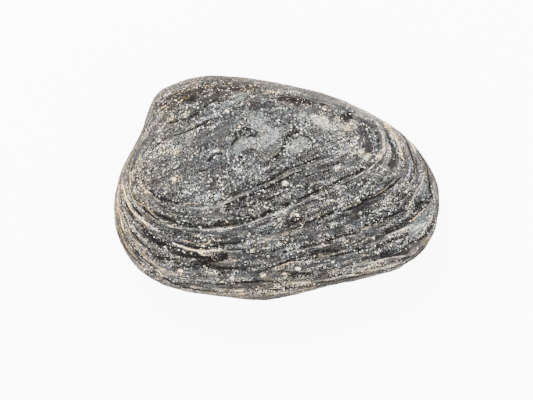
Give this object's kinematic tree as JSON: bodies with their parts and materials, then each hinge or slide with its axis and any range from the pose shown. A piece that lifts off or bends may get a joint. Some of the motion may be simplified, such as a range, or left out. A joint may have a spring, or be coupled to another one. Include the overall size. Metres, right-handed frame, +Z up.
{
  "type": "fossil bivalve",
  "caption": "Water-worn fossil clam, both valves shut and turned to dark grey speckled stone, with ledges along its growth lines; lies flat on its lower valve.",
  "frame": {"origin": "under the middle of the shell, on the worn flat of the lower valve that it rests on", "axes": "+X along the shell to its rounded hind end, +Y to the hinge side, +Z up through the crown of the upper valve"},
  "size_m": [0.08, 0.0552, 0.034],
  "materials": {
    "stone": "worn matt, speckled dark grey with pale grains"
  },
  "bodies": {
    "root": {"fossil_bivalve": "stone"}
  },
  "joints": []
}
